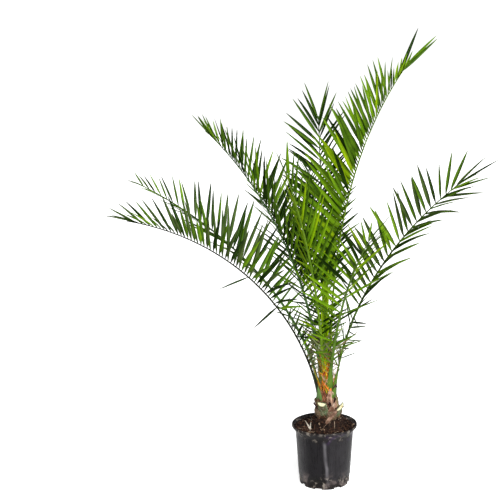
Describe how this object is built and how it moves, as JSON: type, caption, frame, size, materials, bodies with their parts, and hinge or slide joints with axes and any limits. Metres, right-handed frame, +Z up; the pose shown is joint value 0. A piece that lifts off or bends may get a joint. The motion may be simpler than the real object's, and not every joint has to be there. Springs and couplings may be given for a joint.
{
  "type": "potted canary island date palm",
  "caption": "Young date palm with arching feather-shaped fronds on a short trunk, rooted in soil in a round black nursery pot.",
  "frame": {"origin": "centre of the pot's flat underside", "axes": "+Z up, +X to the right and +Y away from the viewer as the picture shows the plant"},
  "size_m": [0.9795, 0.7902, 1.2433],
  "materials": {
    "black_plastic": "satin black, thin walled, slightly dusty",
    "potting_soil": "loose dark peat and bark",
    "fibrous_trunk": "rough brown fibre",
    "leaf_base_husk": "dry cut leaf bases, brown to green",
    "petiole_green": "smooth green stalk",
    "leaflet_green": "satin green leaf",
    "spear_yellow": "smooth yellow green young leaf"
  },
  "bodies": {
    "root": {"pot": "black_plastic", "soil": "potting_soil", "trunk": "fibrous_trunk", "leaf_base_1": "leaf_base_husk", "leaf_base_2": "leaf_base_husk", "leaf_base_3": "leaf_base_husk", "leaf_base_4": "leaf_base_husk", "leaf_base_5": "leaf_base_husk", "leaf_base_6": "leaf_base_husk", "leaf_base_7": "leaf_base_husk", "leaf_base_8": "leaf_base_husk", "spear": "spear_yellow", "petiole_tall_right": "petiole_green", "petiole_back_upright": "petiole_green", "petiole_left_upper": "petiole_green", "petiole_left_middle": "petiole_green", "petiole_left_lower": "petiole_green", "petiole_right_lower": "petiole_green", "petiole_front_young": "petiole_green", "petiole_back_low": "petiole_green", "petiole_back_left": "petiole_green", "petiole_front_right": "petiole_green", "frond_tall_right": "leaflet_green", "frond_back_upright": "leaflet_green", "frond_left_upper": "leaflet_green", "frond_left_middle": "leaflet_green", "frond_left_lower": "leaflet_green", "frond_right_lower": "leaflet_green", "frond_front_young": "leaflet_green", "frond_back_low": "leaflet_green", "frond_back_left": "leaflet_green", "frond_front_right": "leaflet_green"}
  },
  "joints": []
}
